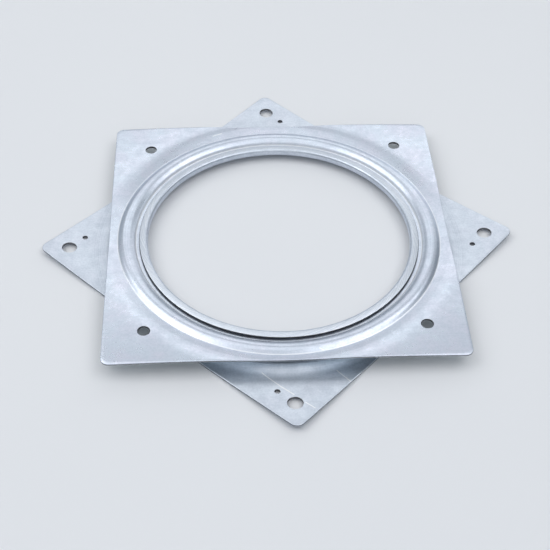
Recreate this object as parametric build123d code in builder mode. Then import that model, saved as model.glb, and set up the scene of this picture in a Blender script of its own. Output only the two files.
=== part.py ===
from build123d import *
import os
from math import cos, radians, sin, sqrt, tan

os.makedirs("parts", exist_ok=True)

# Lazy susan bearing: two pressed square plates that turn on one ring of loose steel balls.
# The origin is on the turning axis, on the surface that the lower plate lies on. +Z is up.
# All sizes are in millimetres and all angles in degrees.

# Plates
plate_side = 150.0
corner_radius = 3.5
sheet = 1.0
lower_turn = -43.9  # how the lower plate stands to the upper one, seen from above

# Balls
ball_diameter = 4.76
ball_count = 6
ball_clearance = 0.05  # between a ball and the crest of each race
race_clearance = 0.15  # between a ball and the sloping sides of each race

# Ring pressed into both plates, from the plate's edge inwards
trough_margin = 3.7  # from the middle of a plate's edge to the trough
dish_width = 6.2  # gentle slope from the mounting face down to the trough
race_offset = 3.8  # from the trough to the balls' pitch circle
crest_recess = 0.57  # crest of the bead below the mounting face
outer_flank = 26.0
inner_flank = 39.0

# Inner margin and the rim that is curled over it
shelf_clearance = 0.8  # between the two plates' inner margins
shelf_show = 1.85  # upper plate's margin left open outside the curled lip
lip_width = 3.8
lip_clearance = 0.15  # under the curled lip
lip_curl = 0.9  # slanting turn from the rim into the lip, measured each way
lip_rise = 0.5  # the lip's inner side above its free edge, as the curling tool leaves it
rim_clearance = 0.3  # between that turn and the upper plate's opening

# Screw holes
upper_hole_diameter = 5.2
upper_hole_land = 2.0  # flat left between a hole and the dish
lower_hole_diameter = 6.3
lower_hole_inset = 9.3  # from the plate's two edges
pilot_diameter = 2.2
pilot_pitch = 9.3  # from a lower hole along the plate's edge

# Heights, the depths being measured from a plate's mounting face to the middle of its sheet
bearing_height = ball_diameter + 2 * (ball_clearance + sheet + crest_recess)
face_depth = sheet / 2
crest_depth = crest_recess + sheet / 2
shelf_depth = (bearing_height - shelf_clearance - sheet) / 2
lip_height = bearing_height - shelf_depth + sheet + lip_clearance
curl_height = lip_height + lip_rise


def crest_reach(flank):
    """How far the crest runs from the pitch circle, so that its flank stays clear of the balls."""
    crest_gap = ball_diameter / 2 + ball_clearance
    flank_gap = ball_diameter / 2 + race_clearance
    race_reach = (flank_gap - crest_gap * cos(radians(flank))) / sin(radians(flank))
    return race_reach + sheet / 2 * tan(radians(flank / 2))


# Radii of the ring, measured from the turning axis to the middle of the sheet
trough_radius = plate_side / 2 - trough_margin
dish_radius = trough_radius + dish_width
pitch_radius = trough_radius - race_offset
crest_outer = pitch_radius + crest_reach(outer_flank)
crest_inner = pitch_radius - crest_reach(inner_flank)
trough_depth = crest_depth + (trough_radius - crest_outer) * tan(radians(outer_flank))
shelf_radius = crest_inner - (shelf_depth - crest_depth) / tan(radians(inner_flank))
lip_radius = shelf_radius - shelf_show
rim_radius = lip_radius - lip_width + sheet / 2
opening_radius = rim_radius + lip_curl + rim_clearance
blank_radius = plate_side / sqrt(2)

# Places of the screw holes
upper_hole_radius = dish_radius + upper_hole_land + upper_hole_diameter / 2
upper_hole_spacing = sqrt(2) * upper_hole_radius
lower_hole_place = plate_side / 2 - lower_hole_inset
pilot_place = lower_hole_place - pilot_pitch


def ring_points(face, inwards):
    """Middle line of a plate's sheet in section, from its blank's edge to its inner margin.

    face is the height of the plate's mounting face, and inwards is 1 where the bearing lies
    above that face and -1 where it lies below.
    """
    return [
        (blank_radius, face + inwards * face_depth),
        (dish_radius, face + inwards * face_depth),
        (trough_radius, face + inwards * trough_depth),
        (crest_outer, face + inwards * crest_depth),
        (crest_inner, face + inwards * crest_depth),
        (shelf_radius, face + inwards * shelf_depth),
    ]


# Upper plate: the pressed section is turned about the axis, then trimmed to the square with its holes
with BuildPart() as upper_plate:
    with BuildSketch(Plane.XZ):
        with BuildLine():
            Polyline(*ring_points(bearing_height, -1), (opening_radius, bearing_height - shelf_depth))
        trace(line_width=sheet)
    revolve(axis=Axis.Z)
    with BuildSketch():
        RectangleRounded(plate_side, plate_side, corner_radius)
        with GridLocations(upper_hole_spacing, upper_hole_spacing, 2, 2):
            Circle(upper_hole_diameter / 2, mode=Mode.SUBTRACT)
    extrude(amount=bearing_height, mode=Mode.INTERSECT)
upper_plate.part.label = "upper_plate"
export_step(upper_plate.part, "parts/upper_plate.step")

# Lower plate: the same ring upside down, whose margin turns up into the rim and curls over the upper one
with BuildPart() as lower_plate:
    with BuildSketch(Plane.XZ):
        with BuildLine():
            rim_points = [(rim_radius, shelf_depth), (rim_radius, curl_height - lip_curl)]
            lip_points = [(rim_radius + lip_curl, curl_height), (lip_radius, lip_height)]
            Polyline(*ring_points(0, 1), *rim_points, *lip_points)
        trace(line_width=sheet)
    revolve(axis=Axis.Z)
    with BuildSketch(Plane.XY.rotated((0, 0, lower_turn))):
        RectangleRounded(plate_side, plate_side, corner_radius)
        with GridLocations(2 * lower_hole_place, 2 * lower_hole_place, 2, 2):
            Circle(lower_hole_diameter / 2, mode=Mode.SUBTRACT)
        with PolarLocations(0, 4):
            with Locations((lower_hole_place, pilot_place)):
                Circle(pilot_diameter / 2, mode=Mode.SUBTRACT)
    extrude(amount=bearing_height, mode=Mode.INTERSECT)
lower_plate.part.label = "lower_plate"
export_step(lower_plate.part, "parts/lower_plate.step")

# Balls: loose in the race, spread evenly on the pitch circle halfway up
with BuildPart() as bearing_balls:
    with Locations((0, 0, bearing_height / 2)):
        with PolarLocations(pitch_radius, ball_count):
            Sphere(ball_diameter / 2)
bearing_balls.part.label = "bearing_balls"
export_step(bearing_balls.part, "parts/bearing_balls.step")
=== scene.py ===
import logging
from dataclasses import dataclass
from enum import Enum
from math import cos, pi, radians, sin, sqrt, tan

import bmesh
import bpy
import numpy as np
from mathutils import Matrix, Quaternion, Vector


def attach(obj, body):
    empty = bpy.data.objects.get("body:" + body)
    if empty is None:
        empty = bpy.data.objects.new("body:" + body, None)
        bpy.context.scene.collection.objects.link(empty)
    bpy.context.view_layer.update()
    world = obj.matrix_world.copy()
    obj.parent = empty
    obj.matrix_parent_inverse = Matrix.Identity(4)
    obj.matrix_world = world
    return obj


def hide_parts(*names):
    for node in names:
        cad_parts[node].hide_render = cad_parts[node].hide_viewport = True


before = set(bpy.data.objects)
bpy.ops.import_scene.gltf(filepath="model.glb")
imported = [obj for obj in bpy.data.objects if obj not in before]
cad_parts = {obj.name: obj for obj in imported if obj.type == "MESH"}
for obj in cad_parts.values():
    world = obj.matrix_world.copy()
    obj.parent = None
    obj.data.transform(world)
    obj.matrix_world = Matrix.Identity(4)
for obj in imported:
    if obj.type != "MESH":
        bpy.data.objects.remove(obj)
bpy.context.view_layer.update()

# Lengths are in metres, angles in radians and noise scales in waves a metre.
MM = 0.001
LOG = logging.getLogger("lazy_susan_bearing")
Colour = tuple[float, float, float]
Place = tuple[float, float, float]
Point = tuple[float, float]
Node = bpy.types.ShaderNode
Socket = bpy.types.NodeSocket


class Facing(Enum):
    """Which way the bearing lies from a plate's mounting face."""

    DOWN = -1
    UP = 1


class Marks(Enum):
    """What the press and the rollers left on a sheet besides its coating."""

    PRESSED = "pressed ring only"
    CURLED = "pressed ring and curled lip"


class Surface(Enum):
    """The kinds of surface on a plate, in the order of its materials."""

    COATED = 0
    CUT_EDGE = 1
    SHADED_INNER_EDGE = 2
    SHADED_RACE = 3
    PAINTED_LIGHT_UNDERSIDE = 4


class ShaderGraph:
    """A material's nodes, with short ways to add the usual ones."""

    def __init__(self, name: str) -> None:
        """Makes an empty material with a Principled shader on its output.

        Args:
            name: The material's name.
        """
        self.material = bpy.data.materials.new(name)
        self.material.use_nodes = True
        self.tree = self.material.node_tree
        self.shader = self.tree.nodes["Principled BSDF"]
        self.place = self.add("ShaderNodeTexCoord").outputs["Object"]

    def add(self, kind: str, **settings: object) -> Node:
        """Adds one node.

        Args:
            kind: The node's type name.
            settings: Properties to set on it.

        Returns:
            The new node.
        """
        node = self.tree.nodes.new(kind)
        for name, value in settings.items():
            setattr(node, name, value)
        return node

    def feed(self, socket: Socket, value: object) -> None:
        """Links a socket to another node's output, or sets it to a constant.

        Args:
            socket: The socket to feed.
            value: An output, or the constant.
        """
        if isinstance(value, bpy.types.NodeSocket):
            self.tree.links.new(value, socket)
        else:
            socket.default_value = value

    def maths(self, operation: str, *values: object, clamp: bool = False) -> Socket:
        """Adds a Math node.

        Args:
            operation: The operation's name.
            values: Its inputs in order, each a socket or a number.
            clamp: Whether the result is kept between 0 and 1.

        Returns:
            The node's output.
        """
        node = self.add("ShaderNodeMath", operation=operation, use_clamp=clamp)
        for socket, value in zip(node.inputs, values):
            self.feed(socket, value)
        return node.outputs[0]

    def vectors(self, operation: str, *values: object) -> Node:
        """Adds a Vector Math node.

        Args:
            operation: The operation's name.
            values: Its inputs in order, each a socket or a vector.

        Returns:
            The new node.
        """
        node = self.add("ShaderNodeVectorMath", operation=operation)
        for socket, value in zip(node.inputs, values):
            self.feed(socket, value)
        return node

    def flat_place(self) -> Socket:
        """The place on the piece, seen from above."""
        return self.vectors("MULTIPLY", self.place, (1, 1, 0)).outputs[0]

    def radius(self) -> Socket:
        """The distance to the turning axis."""
        return self.vectors("LENGTH", self.flat_place()).outputs["Value"]

    def upwards(self, full: float = 0.2) -> Socket:
        """Works out which faces look up.

        Args:
            full: How far up the normal leans where the result is full.

        Returns:
            1 on faces that look up and 0 on those that look down.
        """
        parts = self.add("ShaderNodeSeparateXYZ")
        self.feed(parts.inputs[0], self.add("ShaderNodeNewGeometry").outputs["True Normal"])
        return self.ramp(parts.outputs["Z"], 0.0, full, 0.0, 1.0)

    def noise(self, scale: float, detail: float, stretch: Place) -> Socket:
        """Adds a noise texture.

        Args:
            scale: Its scale.
            detail: Its number of finer layers.
            stretch: How the place is scaled along each axis first.

        Returns:
            The noise's value.
        """
        node = self.add("ShaderNodeTexNoise")
        self.feed(node.inputs["Vector"], self.vectors("MULTIPLY", self.place, stretch).outputs[0])
        node.inputs["Scale"].default_value = scale
        node.inputs["Detail"].default_value = detail
        return node.outputs["Fac"]

    def line_noise(self, along: Socket, detail: float) -> Socket:
        """Adds a noise texture that runs along one value.

        Args:
            along: The value, counted in waves.
            detail: Its number of finer layers.

        Returns:
            The noise's value.
        """
        node = self.add("ShaderNodeTexNoise", noise_dimensions="1D")
        self.feed(node.inputs["W"], along)
        node.inputs["Scale"].default_value = 1.0
        node.inputs["Detail"].default_value = detail
        return node.outputs["Fac"]

    def ramp(self, value: Socket, low: float, high: float, out_low: float, out_high: float) -> Socket:
        """Carries a value smoothly from one range to another, held at the range's ends.

        Args:
            value: The value to carry.
            low: Where the range starts.
            high: Where the range ends.
            out_low: The result at the start.
            out_high: The result at the end.

        Returns:
            The carried value.
        """
        node = self.add("ShaderNodeMapRange", interpolation_type="SMOOTHSTEP")
        for socket, number in zip(node.inputs, (value, low, high, out_low, out_high)):
            self.feed(socket, number)
        return node.outputs["Result"]

    def total(self, *values: Socket) -> Socket:
        """Adds values up and returns their sum, kept between 0 and 1."""
        result = values[0]
        for value in values[1:]:
            result = self.maths("ADD", result, value, clamp=True)
        return result

    def highest(self, *values: Socket) -> Socket:
        """Returns the highest of some values."""
        result = values[0]
        for value in values[1:]:
            result = self.maths("MAXIMUM", result, value)
        return result

    def mix(self, share: Socket, first: Colour | Socket, second: Colour | Socket) -> Socket:
        """Mixes two colours.

        Args:
            share: How much of the second colour there is, from 0 to 1.
            first: A colour, or the output that gives it.
            second: A colour, or the output that gives it.

        Returns:
            The mixed colour.
        """
        node = self.add("ShaderNodeMix", data_type="RGBA")
        self.feed(node.inputs["Factor"], share)
        for name, colour in (("A", first), ("B", second)):
            self.feed(node.inputs[name], (*colour, 1) if isinstance(colour, tuple) else colour)
        return node.outputs["Result"]

    def bump(self, height: Socket, depth: float, normal: Socket | None = None) -> Socket:
        """Adds a bump node.

        Args:
            height: The height of the relief, from 0 to 1.
            depth: The relief's full depth.
            normal: The normal that it adds to, or none.

        Returns:
            The bumped normal.
        """
        node = self.add("ShaderNodeBump")
        node.inputs["Distance"].default_value = depth
        self.feed(node.inputs["Height"], height)
        if normal is not None:
            self.feed(node.inputs["Normal"], normal)
        return node.outputs["Normal"]

    def paint(
        self,
        colour: Socket,
        roughness: float | Socket,
        metal: float | Socket = 0.0,
        normal: Socket | None = None,
    ) -> bpy.types.Material:
        """Feeds the shader.

        Args:
            colour: The base colour.
            roughness: The roughness, one number or an output.
            metal: How metallic it is, one number or an output.
            normal: The bumped normal, or none.

        Returns:
            The finished material.
        """
        self.feed(self.shader.inputs["Base Color"], colour)
        self.feed(self.shader.inputs["Roughness"], roughness)
        self.feed(self.shader.inputs["Metallic"], metal)
        if normal is not None:
            self.feed(self.shader.inputs["Normal"], normal)
        return self.material


@dataclass(frozen=True)
class Layer:
    """One layer of unevenness in a finish: a noise, and the part of its range that counts."""

    scale: float
    detail: float
    low: float = 0.35
    high: float = 0.7
    share: float = 1.0
    stretch: Place = (1, 1, 1)

    def noise(self, graph: ShaderGraph) -> Socket:
        """The layer's noise at each place of the piece."""
        return graph.noise(self.scale, self.detail, self.stretch)

    def amount(self, graph: ShaderGraph, noise: Socket | None = None) -> Socket:
        """How far the layer counts.

        Args:
            graph: The material that it is drawn in.
            noise: The layer's noise, where it is already there.

        Returns:
            0 where it doesn't count, up to its share where it does.
        """
        noise = self.noise(graph) if noise is None else noise
        return graph.ramp(noise, self.low, self.high, 0.0, self.share)


@dataclass(frozen=True)
class Scratch:
    """One straight scuff on a sheet, between two points of its face."""

    start: Point
    end: Point
    width: float
    core: float = 0.3  # share of the width that is fully scratched

    def mask(self, graph: ShaderGraph) -> Socket:
        """Works out where the scratch is.

        Args:
            graph: The material that it is drawn in.

        Returns:
            1 on the scratch and 0 away from it.
        """
        start = Vector((*self.start, 0))
        run = Vector((*self.end, 0)) - start
        offset = graph.vectors("SUBTRACT", graph.flat_place(), start).outputs[0]
        along = graph.vectors("DOT_PRODUCT", offset, run / run.length_squared).outputs["Value"]
        share = graph.maths("ADD", along, 0.0, clamp=True)
        nearest = graph.add("ShaderNodeVectorMath", operation="SCALE")
        nearest.inputs[0].default_value = run
        graph.feed(nearest.inputs["Scale"], share)
        gap = graph.vectors("DISTANCE", offset, nearest.outputs[0]).outputs["Value"]
        return graph.ramp(gap, self.core * self.width, self.width, 1.0, 0.0)


@dataclass(frozen=True)
class RingBand:
    """A narrow band round the axis that fades out on both sides."""

    radius: float
    width: float
    core: float  # share of the width that has the full strength
    strength: float = 1.0

    def mask(self, graph: ShaderGraph, radius: Socket) -> Socket:
        """Works out where the band is.

        Args:
            graph: The material that it is drawn in.
            radius: The distance to the axis.

        Returns:
            The band's strength on it and 0 away from it.
        """
        gap = graph.maths("ABSOLUTE", graph.maths("SUBTRACT", radius, self.radius))
        return graph.ramp(gap, self.core * self.width, self.width, self.strength, 0.0)


@dataclass(frozen=True)
class TurnedLines:
    """Fine lines round the axis, as pressing the ring leaves them."""

    reach: float = 73 * MM
    fade: float = 2 * MM
    pitch: float = 1800
    detail: float = 2
    low: float = 0.35
    high: float = 0.65
    share: float = 0.25
    relief: float = 0.5

    def waves(self, graph: ShaderGraph, radius: Socket) -> Socket:
        """The lines' noise, worked out from the distance to the axis."""
        return graph.line_noise(graph.maths("MULTIPLY", radius, self.pitch), self.detail)

    def place(self, graph: ShaderGraph, radius: Socket) -> Socket:
        """Where the lines are, 1 inside their reach and 0 outside it."""
        return graph.ramp(radius, self.reach - self.fade, self.reach, 1.0, 0.0)

    def dulled(self, graph: ShaderGraph, waves: Socket) -> Socket:
        """How far the lines dull the coating."""
        return graph.ramp(waves, self.low, self.high, 0.0, self.share)


@dataclass(frozen=True)
class RollerStrokes:
    """Fine slanting strokes on the lip, as curling it leaves them."""

    start: float = 59.2 * MM
    end: float = 62.5 * MM
    fade: float = 0.5 * MM
    pitch: float = 3200
    slant: float = 45  # waves in one radian round the axis
    detail: float = 3
    dull_low: float = 0.35
    dull_high: float = 0.6
    dull_share: float = 0.4
    bright_low: float = 0.3
    bright_high: float = 0.55
    bright_most: float = 0.7
    bright_least: float = 0.15

    def waves(self, graph: ShaderGraph, radius: Socket) -> Socket:
        """The strokes' noise.

        Args:
            graph: The material that they are drawn in.
            radius: The distance to the axis.

        Returns:
            The noise, worked out from that distance and the angle round the axis.
        """
        parts = graph.add("ShaderNodeSeparateXYZ")
        graph.feed(parts.inputs[0], graph.place)
        angle = graph.maths("ARCTAN2", parts.outputs["Y"], parts.outputs["X"])
        turned = graph.maths("MULTIPLY", angle, self.slant)
        return graph.line_noise(graph.maths("MULTIPLY_ADD", radius, self.pitch, turned), self.detail)

    def place(self, graph: ShaderGraph, radius: Socket) -> Socket:
        """Where the lip is, 1 on it and 0 away from it."""
        outside = graph.ramp(radius, self.start, self.start + self.fade, 0.0, 1.0)
        inside = graph.ramp(radius, self.end - self.fade, self.end, 1.0, 0.0)
        return graph.maths("MULTIPLY", outside, inside)

    def dulled(self, graph: ShaderGraph, waves: Socket) -> Socket:
        """How far the strokes dull the coating."""
        return graph.ramp(waves, self.dull_low, self.dull_high, 0.0, self.dull_share)

    def brightened(self, graph: ShaderGraph, waves: Socket) -> Socket:
        """How far the metal between the strokes is rubbed bright."""
        return graph.ramp(waves, self.bright_low, self.bright_high, self.bright_most, self.bright_least)


@dataclass(frozen=True)
class ZincFinish:
    """Satin zinc coating on pressed sheet, with faint mottling, drawing lines and tool marks, and painted
    highlights on the ring's trough and foot.
    """

    pale: Colour = (0.765, 0.83, 0.925)
    tinted: Colour = (0.805, 0.815, 0.925)
    dull: Colour = (0.58, 0.64, 0.73)
    # bright: rubbed metal on the lip strokes and scratches, and the painted highlights on the trough and
    # foot.
    bright: Colour = (0.92, 0.94, 0.97)
    smooth: float = 0.26
    rough: float = 0.36
    scratched: float = 0.5
    scratches: tuple[Scratch, ...] = ()
    marks: Marks = Marks.PRESSED
    cloud: Layer = Layer(scale=45, detail=5, high=0.68, share=0.25)
    mottle: Layer = Layer(scale=260, detail=3, low=0.3, share=0.3)
    grain: Layer = Layer(scale=1200, detail=2, low=0.3, share=0.3)
    drawn: Layer = Layer(scale=70, detail=4, low=0.4, high=0.75, share=0.15, stretch=(1, 22, 1))
    tint: Layer = Layer(scale=90, detail=3, high=0.65)
    swell: Layer = Layer(scale=14, detail=1)
    swell_depth: float = 0.5 * MM
    mottle_depth: float = 0.006 * MM
    mark_depth: float = 0.005 * MM
    lines: TurnedLines = TurnedLines()
    strokes: RollerStrokes = RollerStrokes()
    # Painted highlights: bright rings on the trough and the foot of the pressed ring, where the bends catch
    # light.
    trough_highlight: RingBand = RingBand(radius=71.3 * MM, width=0.5 * MM, core=0.2, strength=0.6)
    foot_highlight: RingBand = RingBand(radius=63.5 * MM, width=0.5 * MM, core=0.2, strength=0.6)
    matte_foot_highlight: RingBand = RingBand(radius=64.0 * MM, width=0.65 * MM, core=0.4)  # painted highlight: not metallic, so it shows as a pale line

    def material(self, name: str) -> bpy.types.Material:
        """Builds the finish.

        Args:
            name: The material's name.

        Returns:
            The new material.
        """
        graph = ShaderGraph(name)
        radius = graph.radius()
        mottle = self.mottle.noise(graph)
        drawn = self.drawn.noise(graph)
        lines = self.lines.waves(graph, radius)
        in_ring = self.lines.place(graph, radius)
        dull = graph.total(
            self.cloud.amount(graph),
            self.mottle.amount(graph, mottle),
            self.grain.amount(graph),
            self.drawn.amount(graph, drawn),
            graph.maths("MULTIPLY", self.lines.dulled(graph, lines), in_ring),
        )
        line_relief = graph.maths("MULTIPLY", in_ring, self.lines.relief)
        relief = graph.maths("MULTIPLY_ADD", lines, line_relief, drawn)
        # Painted highlights on the trough and foot; the real rubbed strokes and scratches are added below.
        wear_and_highlight = graph.highest(self.trough_highlight.mask(graph, radius), self.foot_highlight.mask(graph, radius))
        if self.marks is Marks.CURLED:
            strokes = self.strokes.waves(graph, radius)
            on_lip = self.strokes.place(graph, radius)
            relief = graph.maths("MULTIPLY_ADD", strokes, on_lip, relief)
            dull = graph.total(dull, graph.maths("MULTIPLY", self.strokes.dulled(graph, strokes), on_lip))
            streaks = graph.maths("MULTIPLY", self.strokes.brightened(graph, strokes), on_lip)
            wear_and_highlight = graph.highest(wear_and_highlight, streaks)
        roughness = graph.ramp(dull, 0.0, 1.0, self.smooth, self.rough)
        if self.scratches:
            scratched = self.scratched_places(graph)
            relief = graph.maths("ADD", relief, scratched)
            wear_and_highlight = graph.highest(wear_and_highlight, scratched)
            roughness = graph.maths("MULTIPLY_ADD", scratched, self.scratched - self.rough, roughness)
        coated = graph.mix(dull, graph.mix(self.tint.amount(graph), self.pale, self.tinted), self.dull)
        swell = graph.bump(self.swell.noise(graph), self.swell_depth)
        fine = graph.bump(mottle, self.mottle_depth, swell)
        return graph.paint(
            colour=graph.mix(wear_and_highlight, coated, self.bright),
            roughness=roughness,
            metal=graph.maths("SUBTRACT", 1.0, self.matte_foot_highlight.mask(graph, radius)),
            normal=graph.bump(relief, self.mark_depth, fine),
        )

    def scratched_places(self, graph: ShaderGraph) -> Socket:
        """Where the scratches are on the upper face, 1 on them and 0 away from them."""
        places = graph.highest(*(scratch.mask(graph) for scratch in self.scratches))
        return graph.maths("MULTIPLY", places, graph.upwards())


@dataclass(frozen=True)
class CutEdgeFinish:
    """Bare steel where the sheet was sheared or punched, with fine lines across its thickness; its dark tone
    is partly the steel's own and partly painted shade.
    """

    # bare_in_shade and streak_in_shade: bare steel darkened with painted shade.
    bare_in_shade: Colour = (0.22, 0.225, 0.24)
    streak_in_shade: Colour = (0.12, 0.12, 0.13)
    roughness: float = 0.5
    lines: Layer = Layer(scale=500, detail=3, stretch=(1, 1, 0.15))
    line_depth: float = 0.05 * MM

    def material(self, name: str) -> bpy.types.Material:
        """Builds the finish and returns the new material."""
        graph = ShaderGraph(name)
        lines = self.lines.noise(graph)
        colour = graph.mix(self.lines.amount(graph, lines), self.bare_in_shade, self.streak_in_shade)
        return graph.paint(colour, self.roughness, metal=1.0, normal=graph.bump(lines, self.line_depth))


@dataclass(frozen=True)
class RaceShadeFinish:
    """The faces that the balls run between, painted near black as the shade that falls between the plates.
    """

    # filmed and deep_shade are two near-black tones of painted shade, mixed by the film noise.
    filmed: Colour = (0.08, 0.08, 0.085)
    deep_shade: Colour = (0.04, 0.04, 0.04)
    roughness: float = 0.5
    film: Layer = Layer(scale=160, detail=3)

    def material(self, name: str) -> bpy.types.Material:
        """Builds the finish and returns the new material."""
        graph = ShaderGraph(name)
        colour = graph.mix(self.film.amount(graph), self.filmed, self.deep_shade)
        return graph.paint(colour, self.roughness, metal=1.0)


@dataclass(frozen=True)
class BallFinish:
    """Polished bearing steel with a thin film of grease."""

    bright: Colour = (0.78, 0.78, 0.80)
    filmed: Colour = (0.60, 0.58, 0.54)
    smooth: float = 0.08
    rough: float = 0.24
    film: Layer = Layer(scale=420, detail=3, low=0.4)

    def material(self, name: str) -> bpy.types.Material:
        """Builds the finish and returns the new material."""
        graph = ShaderGraph(name)
        film = self.film.amount(graph)
        roughness = graph.ramp(film, 0.0, 1.0, self.smooth, self.rough)
        return graph.paint(graph.mix(film, self.bright, self.filmed), roughness, metal=1.0)


@dataclass(frozen=True)
class FloorFinish:
    """Plain pale floor with a little unevenness in its tone."""

    light: Colour = (0.80, 0.81, 0.83)
    shade: Colour = (0.76, 0.77, 0.80)
    roughness: float = 0.6
    cloud: Layer = Layer(scale=3, detail=3)

    def material(self, name: str) -> bpy.types.Material:
        """Builds the finish and returns the new material."""
        graph = ShaderGraph(name)
        return graph.paint(graph.mix(self.cloud.noise(graph), self.light, self.shade), self.roughness)


@dataclass(frozen=True)
class Corner:
    """One corner of a sheet's middle line in section, with the radius that it is bent to."""

    radius: float
    height: float
    bend: float = 0.0

    def place(self) -> np.ndarray:
        """The corner's radius and height."""
        return np.array((self.radius, self.height))


@dataclass(frozen=True)
class SheetSection:
    """A bent sheet in section, from its inner end outwards."""

    corners: tuple[Corner, ...]
    sheet: float
    bend_step: float = radians(5)
    least_steps: int = 3

    def middle_line(self) -> np.ndarray:
        """Rounds the corners.

        Returns:
            Rows of radius, height and the two parts of the unit normal.
        """
        places = [corner.place() for corner in self.corners]
        rows = [self.row(places[0], self.heading(places[0], places[1]))]
        for before, corner, after in zip(self.corners, self.corners[1:], self.corners[2:]):
            rows.extend(self.bend_rows(before, corner, after))
        rows.append(self.row(places[-1], self.heading(places[-2], places[-1])))
        return np.array(rows)

    @staticmethod
    def heading(start: np.ndarray, end: np.ndarray) -> float:
        """The angle of a straight run, from its start to its end."""
        return float(np.arctan2(end[1] - start[1], end[0] - start[0]))

    @staticmethod
    def row(place: np.ndarray, heading: float) -> np.ndarray:
        """One row of the middle line, with the normal to the left of the heading."""
        return np.array((*place, -sin(heading), cos(heading)))

    def bend_rows(self, before: Corner, corner: Corner, after: Corner) -> list[np.ndarray]:
        """Rows round one bend.

        Args:
            before: The corner before it.
            corner: The corner that is bent.
            after: The corner after it.

        Returns:
            Rows from the bend's start to its end.
        """
        place = corner.place()
        into = self.heading(before.place(), place)
        out = self.heading(place, after.place())
        turn = (out - into + pi) % (2 * pi) - pi
        side = 1.0 if turn > 0 else -1.0
        reach = corner.bend * tan(abs(turn) / 2)
        start = place - reach * np.array((cos(into), sin(into)))
        centre = start + side * corner.bend * np.array((-sin(into), cos(into)))
        steps = max(self.least_steps, round(abs(turn) / self.bend_step))
        rows = []
        for share in np.linspace(0, 1, steps + 1):
            angle = into + share * turn
            normal = np.array((-sin(angle), cos(angle)))
            rows.append(np.array((*(centre - side * corner.bend * normal), *normal)))
        return rows

    def faces(self) -> tuple[np.ndarray, np.ndarray]:
        """The two faces of the sheet.

        Returns:
            Points on the side that the normal points to, and points on the other side.
        """
        line = self.middle_line()
        shift = self.sheet / 2 * line[:, 2:]
        return line[:, :2] + shift, line[:, :2] - shift


@dataclass(frozen=True)
class Hole:
    """A round hole through a plate's flat, with its edges slightly broken."""

    place: Point
    diameter: float
    broken_edge: float = 0.12 * MM
    segments: int = 48


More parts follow.
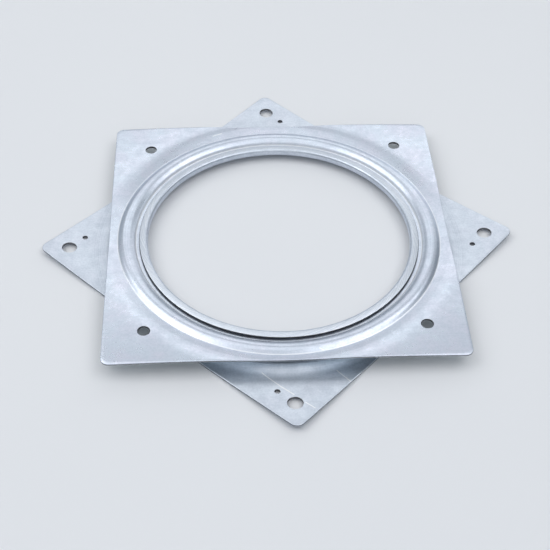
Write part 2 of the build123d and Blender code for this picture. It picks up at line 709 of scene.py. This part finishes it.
@dataclass
class PressedPlate:
    """One square plate with the ring that is pressed into it.

    Each corner of the ring is given by its radius and its depth below the mounting face.
    """

    name: str
    node: str
    body: str
    facing: Facing
    finish: ZincFinish
    holes: list[Hole]
    cut_edge: CutEdgeFinish = CutEdgeFinish()
    # Painted shade: the sheet's inner end, the lip's free edge on the lower plate, is painted near black for
    # the dark gap under it.
    shaded_inner_edge: CutEdgeFinish = CutEdgeFinish(
        bare_in_shade=(0.10, 0.10, 0.11),
        streak_in_shade=(0.05, 0.05, 0.055),
        roughness=0.6,
    )
    # Painted shade: the faces between the plates are painted near black.
    shaded_race: RaceShadeFinish = RaceShadeFinish()
    painted_light_underside: ZincFinish | None = None  # painted light: its own paler zinc on the underside outside the ring, standing in for light reflected up onto it
    turn: float = 0.0
    side: float = 150 * MM
    corner_radius: float = 3.5 * MM
    sheet: float = 1.0 * MM
    bearing_height: float = 8.0 * MM
    dish: Point = (77.5 * MM, 0.5 * MM)
    trough: Point = (71.3 * MM, 2.48 * MM)
    crest_outer: Point = (69.1 * MM, 1.07 * MM)
    crest_inner: Point = (66.5 * MM, 1.07 * MM)
    brow: Point = (64.5 * MM, 2.3 * MM)
    shelf: Point = (63.8 * MM, 3.1 * MM)
    dish_bend: float = 28 * MM
    trough_bend: float = 1.3 * MM
    crest_bend: float = 3.9 * MM
    brow_bend: float = 0.8 * MM
    shelf_bend: float = 1.0 * MM
    split_radius: float = 73.6 * MM  # between the ring's rows and those that reach the square edge
    split_overlap: float = 4 * MM
    outer_rows: int = 26
    outer_spread: float = 1.6  # above 1, the rows are closer together near the ring
    edge_round: float = 0.28 * MM
    inner_round: float = 0.2 * MM
    round_steps: int = 3
    corner_lift: float = 0.8 * MM
    lift_start: float = 77.5 * MM
    lift_blend: float = 4 * MM
    columns_per_side: int = 72
    corner_columns: int = 26
    corner_span: float = 2.6
    sharp_angle: float = radians(40)

    def at_height(self, depth: float) -> float:
        """The height above the floor of a depth below this plate's mounting face."""
        face = 0.0 if self.facing is Facing.UP else self.bearing_height
        return face + self.facing.value * depth

    def ring_corners(self) -> list[Corner]:
        """Corners of the pressed ring, from its inner margin out to the blank's edge."""
        bends = {
            self.shelf: self.shelf_bend,
            self.brow: self.brow_bend,
            self.crest_inner: self.crest_bend,
            self.crest_outer: self.crest_bend,
            self.trough: self.trough_bend,
            self.dish: self.dish_bend,
        }
        corners = [Corner(place[0], self.at_height(place[1]), bend) for place, bend in bends.items()]
        corners.append(Corner(self.side, self.at_height(self.dish[1])))
        return corners

    def inner_corners(self) -> list[Corner]:
        """Corners inside the pressed ring, from the sheet's inner end."""
        raise NotImplementedError

    def outline_radius(self, angles: np.ndarray) -> np.ndarray:
        """How far the plate's edge is from the axis.

        Args:
            angles: Angles round the axis, from the plate's own X.

        Returns:
            The distance at each angle.
        """
        across = np.abs(np.cos(angles))
        up = np.abs(np.sin(angles))
        half = self.side / 2
        straight = half / np.maximum(across, up)
        inset = half - self.corner_radius
        along = (across + up) * inset
        reach = along**2 - 2 * inset**2 + self.corner_radius**2
        rounded = along + np.sqrt(np.maximum(reach, 0))
        in_corner = np.minimum(across, up) * straight > inset
        return np.where(in_corner, rounded, straight)

    def column_angles(self) -> np.ndarray:
        """Angles of the mesh's columns, closer together near the plate's corners."""
        width = self.corner_span * self.corner_radius / self.side
        near = np.linspace(-width, width, self.corner_columns, endpoint=False)
        far = np.linspace(width, pi / 2 - width, self.columns_per_side, endpoint=False)
        quarter = np.concatenate((near, far)) + pi / 4
        return np.concatenate([quarter + k * pi / 2 for k in range(4)])

    def section_points(self, angles: np.ndarray) -> tuple[np.ndarray, np.ndarray]:
        """Points of the sheet's closed section at each column.

        Args:
            angles: The columns' angles.

        Returns:
            An array of columns by rows by radius and height, and the kind of surface of each row of faces.
        """
        section = SheetSection((*self.inner_corners(), *self.ring_corners()), self.sheet)
        top, bottom = section.faces()
        edge = self.outline_radius(angles)[:, None]
        outer_top = self.outer_face(top, edge, -1.0)
        outer_bottom = self.outer_face(bottom, edge, 1.0)
        end = self.inner_end(top, bottom)
        turned = (self.ring_face(top), self.ring_face(bottom)[::-1], end)
        ring_top, ring_bottom, inner = (np.broadcast_to(rows, (len(angles), *rows.shape)) for rows in turned)
        points = np.concatenate((ring_top, outer_top, outer_bottom[:, ::-1], ring_bottom, inner), axis=1)

        ring_rows, edge_rows = ring_top.shape[1], outer_top.shape[1]
        surfaces = np.full(points.shape[1], Surface.COATED.value, dtype=np.int32)
        surfaces[ring_rows + edge_rows - 1] = Surface.CUT_EDGE.value
        # The inner end is bare steel darkened with painted shade, apart from the first and the last of its
        # rows.
        surfaces[1 - len(end) : -2] = Surface.SHADED_INNER_EDGE.value
        # The painted shade goes on the faces that look at the other plate.
        shaded_race = 0 if self.facing is Facing.UP else ring_rows + 2 * edge_rows
        surfaces[shaded_race : shaded_race + ring_rows - 1] = Surface.SHADED_RACE.value
        if self.painted_light_underside is not None:
            under = ring_rows + edge_rows
            surfaces[under : under + edge_rows - 1] = Surface.PAINTED_LIGHT_UNDERSIDE.value
        return points, surfaces

    def ring_face(self, face: np.ndarray) -> np.ndarray:
        """The rows of one face that lie inside the split radius, without the sheet's very end."""
        return face[1:][face[1:, 0] < self.split_radius]

    def outer_face(self, face: np.ndarray, edge: np.ndarray, lean: float) -> np.ndarray:
        """The rows of one face from the split radius to the plate's edge, which is slightly rounded.

        Args:
            face: The face's points in section.
            edge: The distance from the axis to the edge at each column.
            lean: Which way the rounding turns, 1 upwards and -1 downwards.

        Returns:
            Points at each column.
        """
        shares = (np.arange(self.outer_rows + 1) / self.outer_rows) ** self.outer_spread
        flat_edge = edge - self.edge_round
        flat = self.split_radius + (flat_edge - self.split_radius) * shares
        turn = pi / 2 * np.arange(1, self.round_steps + 1) / self.round_steps
        rounded = flat_edge + self.edge_round * np.sin(turn)
        rounded_drop = np.broadcast_to(self.edge_round * (1 - np.cos(turn)), rounded.shape)
        radius = np.concatenate((flat, rounded), axis=1)
        drop = np.concatenate((np.zeros_like(flat), rounded_drop), axis=1)
        outer = face[face[:, 0] > self.split_radius - self.split_overlap]
        order = np.argsort(outer[:, 0])
        height = np.interp(radius, outer[order, 0], outer[order, 1]) + lean * drop
        return np.stack((radius, height), axis=2)

    def inner_end(self, top: np.ndarray, bottom: np.ndarray) -> np.ndarray:
        """The rounded end of the sheet at its inner edge.

        Args:
            top: Points in section of the face that looks up at the ring.
            bottom: Points in section of the other face.

        Returns:
            Rows from the other face to the first one.
        """
        run = top[1] - top[0]
        run = run / np.linalg.norm(run)
        across = (top[0] - bottom[0]) / self.sheet
        turns = np.linspace(pi / 2, 0, self.round_steps + 1)[:, None]
        along = run * self.inner_round * (1 - np.sin(turns))
        inwards = across * self.inner_round * (1 - np.cos(turns))
        return np.concatenate((bottom[0] + (along + inwards)[::-1], top[0] + along - inwards))

    def build(self) -> bpy.types.Object:
        """Builds the plate, cuts its holes and dresses it.

        Returns:
            The finished piece.
        """
        piece = bpy.data.objects.new(self.name, self.sheet_mesh())
        bpy.context.scene.collection.objects.link(piece)
        self.cut_holes(piece)
        self.bow_corners(piece.data)
        self.dress(piece)
        return piece

    def sheet_mesh(self) -> bpy.types.Mesh:
        """Builds the plate's mesh without its holes.

        Returns:
            The mesh, with its materials.
        """
        angles = self.column_angles()
        section, surfaces = self.section_points(angles)
        turned = angles + self.turn
        columns, rows = section.shape[:2]
        x = section[:, :, 0] * np.cos(turned)[:, None]
        y = section[:, :, 0] * np.sin(turned)[:, None]
        points = np.stack((x, y, section[:, :, 1]), axis=2).reshape(-1, 3)
        here = np.arange(columns)[:, None] * rows + np.arange(rows)[None, :]
        beside = np.roll(here, -1, axis=0)
        corners = (here, np.roll(here, -1, axis=1), np.roll(beside, -1, axis=1), beside)
        quads = np.stack(corners, axis=2).reshape(-1, 4)
        mesh = bpy.data.meshes.new(self.name)
        mesh.from_pydata(points.tolist(), [], quads.tolist())
        mesh.materials.append(self.finish.material(self.name))
        mesh.materials.append(self.cut_edge.material(f"{self.name}_cut_edge"))
        mesh.materials.append(self.shaded_inner_edge.material(f"{self.name}_shaded_inner_edge"))
        mesh.materials.append(self.shaded_race.material(f"{self.name}_race"))
        if self.painted_light_underside is not None:
            mesh.materials.append(self.painted_light_underside.material(f"{self.name}_sheltered"))
        mesh.polygons.foreach_set("material_index", np.tile(surfaces, columns))
        self.face_outwards(mesh)
        return mesh

    @staticmethod
    def face_outwards(mesh: bpy.types.Mesh) -> None:
        """Turns all of a closed mesh's faces outwards."""
        work = bmesh.new()
        work.from_mesh(mesh)
        bmesh.ops.recalc_face_normals(work, faces=work.faces)
        work.to_mesh(mesh)
        work.free()

    def cut_holes(self, piece: bpy.types.Object) -> None:
        """Cuts the plate's holes through its mesh."""
        cutter = self.hole_cutter()
        cut = piece.modifiers.new("holes", "BOOLEAN")
        cut.operation = "DIFFERENCE"
        cut.solver = "EXACT"
        cut.object = cutter
        whole = piece.data
        graph = bpy.context.evaluated_depsgraph_get()
        piece.data = bpy.data.meshes.new_from_object(piece.evaluated_get(graph))
        piece.data.name = self.name
        piece.modifiers.clear()
        bpy.data.meshes.remove(whole)
        tool = cutter.data
        bpy.data.objects.remove(cutter)
        bpy.data.meshes.remove(tool)

    def hole_cutter(self) -> bpy.types.Object:
        """Makes one object of all the plate's hole cutters."""
        work = bmesh.new()
        low = min(self.at_height(0.0), self.at_height(self.sheet))
        high = low + self.sheet
        for hole in self.holes:
            wall = hole.diameter / 2
            edge = hole.broken_edge
            profile = (
                (wall + 2 * edge, low - edge),
                (wall, low + edge),
                (wall, high - edge),
                (wall + 2 * edge, high + edge),
            )
            self.turn_profile(work, hole, profile)
        for face in work.faces:
            face.material_index = Surface.CUT_EDGE.value
        mesh = bpy.data.meshes.new("hole_cutter")
        work.to_mesh(mesh)
        work.free()
        cutter = bpy.data.objects.new("hole_cutter", mesh)
        bpy.context.scene.collection.objects.link(cutter)
        return cutter

    def turn_profile(self, work: bmesh.types.BMesh, hole: Hole, profile: tuple[Point, ...]) -> None:
        """Adds one closed turned solid.

        Args:
            work: The mesh that it is added to.
            hole: The hole that it cuts, whose place is in the plate's own frame.
            profile: Its radius and height, from its bottom to its top.
        """
        centre = Vector((*hole.place, 0)) @ Quaternion((0, 0, 1), -self.turn).to_matrix()
        angles = [2 * pi * k / hole.segments for k in range(hole.segments)]
        loops = []
        for radius, height in profile:
            places = [(centre.x + radius * cos(a), centre.y + radius * sin(a), height) for a in angles]
            loops.append([work.verts.new(place) for place in places])
        for lower, upper in zip(loops, loops[1:]):
            for k in range(hole.segments):
                following = (k + 1) % hole.segments
                work.faces.new((lower[k], lower[following], upper[following], upper[k]))
        work.faces.new(loops[0][::-1])
        work.faces.new(loops[-1])

    def bow_corners(self, mesh: bpy.types.Mesh) -> None:
        """Bends the plate's corners slightly towards the other plate, as pressing the ring leaves them."""
        points = np.empty(3 * len(mesh.vertices))
        mesh.vertices.foreach_get("co", points)
        points = points.reshape(-1, 3)
        out = np.clip(np.hypot(points[:, 0], points[:, 1]) - self.lift_start, 0, None)
        blend = self.lift_blend
        rise = np.where(out < blend, out**2 / (2 * blend), out - blend / 2)
        reach = self.side / sqrt(2) - self.lift_start - blend / 2
        points[:, 2] += self.facing.value * self.corner_lift * rise / reach
        mesh.vertices.foreach_set("co", points.ravel())
        mesh.update()

    def dress(self, piece: bpy.types.Object) -> None:
        """Smooths the plate's shading and fastens it to its body."""
        piece.data.shade_smooth()
        piece.data.set_sharp_from_angle(angle=self.sharp_angle)
        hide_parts(self.node)
        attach(piece, self.body)
        LOG.info("%s: %d faces on body %s", piece.name, len(piece.data.polygons), self.body)


@dataclass
class UpperPlate(PressedPlate):
    """The plate that turns, whose inner margin ends under the curled lip."""

    shelf: Point = (63.8 * MM, 3.5 * MM)
    opening_radius: float = 59.85 * MM

    def inner_corners(self) -> list[Corner]:
        """The margin's inner end."""
        return [Corner(self.opening_radius, self.at_height(self.shelf[1]))]


@dataclass
class LowerPlate(PressedPlate):
    """The plate that stays still, whose rim rises through the opening and curls over the other plate."""

    dish: Point = (76.6 * MM, 0.5 * MM)
    trough: Point = (71.3 * MM, 2.9 * MM)
    dish_bend: float = 9 * MM
    # On this plate the painted shade of the race reaches out to the split radius, under the other plate's
    # edge.
    split_radius: float = 74.4 * MM
    rim_radius: float = 58.65 * MM
    lip_radius: float = 61.95 * MM
    lip_height: float = 5.58 * MM
    lip_rise: float = 0.45 * MM
    rim_bend: float = 1.0 * MM
    lip_bend: float = 0.8 * MM
    inner_round: float = 0.4 * MM

    def inner_corners(self) -> list[Corner]:
        """The lip's edge, its curl and the foot of the rim."""
        return [
            Corner(self.lip_radius, self.lip_height),
            Corner(self.rim_radius, self.lip_height + self.lip_rise, self.lip_bend),
            Corner(self.rim_radius, self.at_height(self.shelf[1]), self.rim_bend),
        ]


@dataclass
class BallRing:
    """The loose balls between the plates."""

    diameter: float = 4.76 * MM
    pitch_radius: float = 67.5 * MM
    count: int = 6
    height: float = 4.0 * MM
    subdivisions: int = 4
    finish: BallFinish = BallFinish()

    def build(self) -> bpy.types.Object:
        """Builds the balls as one piece and returns it."""
        work = bmesh.new()
        for k in range(self.count):
            angle = 2 * pi * k / self.count
            place = (self.pitch_radius * cos(angle), self.pitch_radius * sin(angle), self.height)
            ball = bmesh.ops.create_icosphere(work, subdivisions=self.subdivisions, radius=self.diameter / 2)
            bmesh.ops.translate(work, verts=ball["verts"], vec=place)
        mesh = bpy.data.meshes.new("ball_set")
        work.to_mesh(mesh)
        work.free()
        mesh.shade_smooth()
        mesh.materials.append(self.finish.material("ball_set"))
        piece = bpy.data.objects.new("ball_set", mesh)
        bpy.context.scene.collection.objects.link(piece)
        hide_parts("bearing_balls")
        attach(piece, "ball_ring")
        LOG.info("%s: %d balls on body ball_ring", piece.name, self.count)
        return piece


@dataclass(frozen=True)
class SoftBox:
    """One soft studio lamp that faces the bearing."""

    name: str
    place: Place
    size: Point
    power: float

    def build(self) -> bpy.types.Object:
        """Hangs the lamp and returns it."""
        lamp = bpy.data.lights.new(self.name, "AREA")
        lamp.shape = "RECTANGLE"
        lamp.size, lamp.size_y = self.size
        lamp.energy = self.power
        thing = bpy.data.objects.new(self.name, lamp)
        thing.location = self.place
        thing.rotation_euler = (-Vector(self.place)).to_track_quat("-Z", "Y").to_euler()
        bpy.context.scene.collection.objects.link(thing)
        LOG.info("%s: %.1f W", self.name, self.power)
        return thing


@dataclass
class Studio:
    """Pale floor, soft lamps, an even surround and the camera."""

    eye: Place = (-25.2 * MM, -380.7 * MM, 362.5 * MM)
    target: Place = (-3.17 * MM, -27.91 * MM, 8.0 * MM)
    roll: float = radians(1.17)
    lens: float = 76.81  # in millimetres, like the sensor
    sensor_width: float = 36.0
    floor_size: float = 6.0
    floor_gap: float = 0.05 * MM
    surround: Colour = (0.79, 0.90, 1.0)
    surround_strength: float = 0.26
    floor: FloorFinish = FloorFinish()
    lamps: tuple[SoftBox, ...] = (
        SoftBox("left_lamp", place=(-0.72, 0.06, 0.96), size=(1.2, 0.9), power=5.4),
        SoftBox("right_lamp", place=(0.62, -0.05, 1.02), size=(1.2, 0.7), power=4.2),
        SoftBox("top_lamp", place=(0.0, 0.125, 1.3), size=(0.6, 1.09), power=1.72),
        SoftBox("front_lamp", place=(0.0, -0.98, 0.85), size=(0.9, 1.2), power=2.8),
        SoftBox("back_lamp", place=(0.0, 1.1, 0.96), size=(1.32, 0.55), power=2.25),
        SoftBox("low_lamp", place=(0.25, 1.38, 0.56), size=(1.8, 0.45), power=1.3),
        SoftBox("corner_lamp", place=(0.85, 1.25, 0.52), size=(0.8, 0.72), power=0.75),
        SoftBox("side_lamp", place=(-0.95, 1.1, 0.62), size=(0.9, 0.6), power=0.45),
    )

    def build(self) -> None:
        """Builds the whole studio."""
        self.lay_floor()
        for lamp in self.lamps:
            lamp.build()
        self.set_surround()
        self.set_camera()
        bpy.context.scene.view_settings.view_transform = "Standard"

    def lay_floor(self) -> None:
        """Lays the floor just under the bearing."""
        half = self.floor_size / 2
        corners = [(-half, -half, 0), (half, -half, 0), (half, half, 0), (-half, half, 0)]
        mesh = bpy.data.meshes.new("floor")
        mesh.from_pydata(corners, [], [(0, 1, 2, 3)])
        mesh.materials.append(self.floor.material("floor"))
        floor = bpy.data.objects.new("floor", mesh)
        floor.location.z = -self.floor_gap
        bpy.context.scene.collection.objects.link(floor)
        LOG.info("floor: %.1f m square", self.floor_size)

    def set_surround(self) -> None:
        """Sets the even light that comes from all round."""
        world = bpy.data.worlds.new("surround")
        world.use_nodes = True
        back = world.node_tree.nodes["Background"]
        back.inputs["Color"].default_value = (*self.surround, 1)
        back.inputs["Strength"].default_value = self.surround_strength
        bpy.context.scene.world = world

    def set_camera(self) -> None:
        """Sets the camera at the photograph's angle."""
        camera = bpy.data.objects.new("camera", bpy.data.cameras.new("camera"))
        camera.data.lens = self.lens
        camera.data.sensor_width = self.sensor_width
        camera.location = self.eye
        aim = (Vector(self.target) - Vector(self.eye)).to_track_quat("-Z", "Y")
        camera.rotation_mode = "QUATERNION"
        camera.rotation_quaternion = aim @ Quaternion((0, 0, 1), self.roll)
        bpy.context.scene.collection.objects.link(camera)
        bpy.context.scene.camera = camera


def corner_holes(place: float, diameter: float) -> list[Hole]:
    """Four equal holes, one in each corner.

    Args:
        place: How far each hole is from the plate's two middle lines.
        diameter: The holes' diameter.

    Returns:
        The four holes.
    """
    return [Hole((x, y), diameter) for x in (-place, place) for y in (-place, place)]


def pilot_holes(place: float, pitch: float, diameter: float) -> list[Hole]:
    """Four small holes, each beside a corner hole along the plate's edge.

    Args:
        place: How far each corner hole is from the plate's two middle lines.
        pitch: How far a small hole is from its corner hole.
        diameter: The holes' diameter.

    Returns:
        The four holes.
    """
    x, y = place, place - pitch
    return [Hole(spot, diameter) for spot in ((x, y), (-y, x), (-x, -y), (y, -x))]


def upper_plate() -> UpperPlate:
    """The plate that turns, with two nicks in its ring."""
    nicks = (
        Scratch(start=(-28.6 * MM, 68.9 * MM), end=(-24.4 * MM, 70.7 * MM), width=0.3 * MM),
        Scratch(start=(13.0 * MM, -68.9 * MM), end=(14.6 * MM, -69.5 * MM), width=0.3 * MM),
    )
    return UpperPlate(
        name="upper_plate_sheet",
        node="upper_plate",
        body="upper",
        facing=Facing.DOWN,
        finish=ZincFinish(scratches=nicks),
        # Painted light: paler zinc on the underside outside the ring, for the light reflected up onto it
        # from the plate below.
        painted_light_underside=ZincFinish(
            pale=(0.92, 0.985, 0.985),
            tinted=(0.93, 0.98, 0.985),
            dull=(0.84, 0.89, 0.90),
        ),
        holes=corner_holes(place=58.05 * MM, diameter=5.2 * MM),
        lift_blend=20 * MM,
    )


def lower_plate() -> LowerPlate:
    """The plate that stays still, with four scuffs on its front corner."""
    scuffs = (
        Scratch(start=(-10.6 * MM, -76.3 * MM), end=(-3.4 * MM, -83.8 * MM), width=0.34 * MM),
        Scratch(start=(-3.4 * MM, -83.8 * MM), end=(1.5 * MM, -88.3 * MM), width=0.44 * MM),
        Scratch(start=(5.8 * MM, -92.7 * MM), end=(9.3 * MM, -95.8 * MM), width=0.34 * MM),
        Scratch(start=(19.6 * MM, -76.0 * MM), end=(24.5 * MM, -82.2 * MM), width=0.34 * MM),
    )
    finish = ZincFinish(
        pale=(0.75, 0.805, 0.885),
        tinted=(0.765, 0.80, 0.885),
        dull=(0.565, 0.62, 0.70),
        smooth=0.32,
        rough=0.42,
        lines=TurnedLines(reach=84 * MM),
        scratches=scuffs,
        marks=Marks.CURLED,
    )
    screw_place = 65.7 * MM
    pilots = pilot_holes(place=screw_place, pitch=9.3 * MM, diameter=2.2 * MM)
    return LowerPlate(
        name="lower_plate_sheet",
        node="lower_plate",
        body="lower",
        facing=Facing.UP,
        finish=finish,
        holes=corner_holes(place=screw_place, diameter=6.3 * MM) + pilots,
        turn=radians(-43.9),
        corner_lift=2.2 * MM,
    )


def main() -> None:
    """Builds the bearing and its studio in order."""
    logging.basicConfig(level=logging.INFO, format="%(message)s")
    upper_plate().build()
    lower_plate().build()
    BallRing().build()
    Studio().build()


if __name__ == "__main__":
    main()
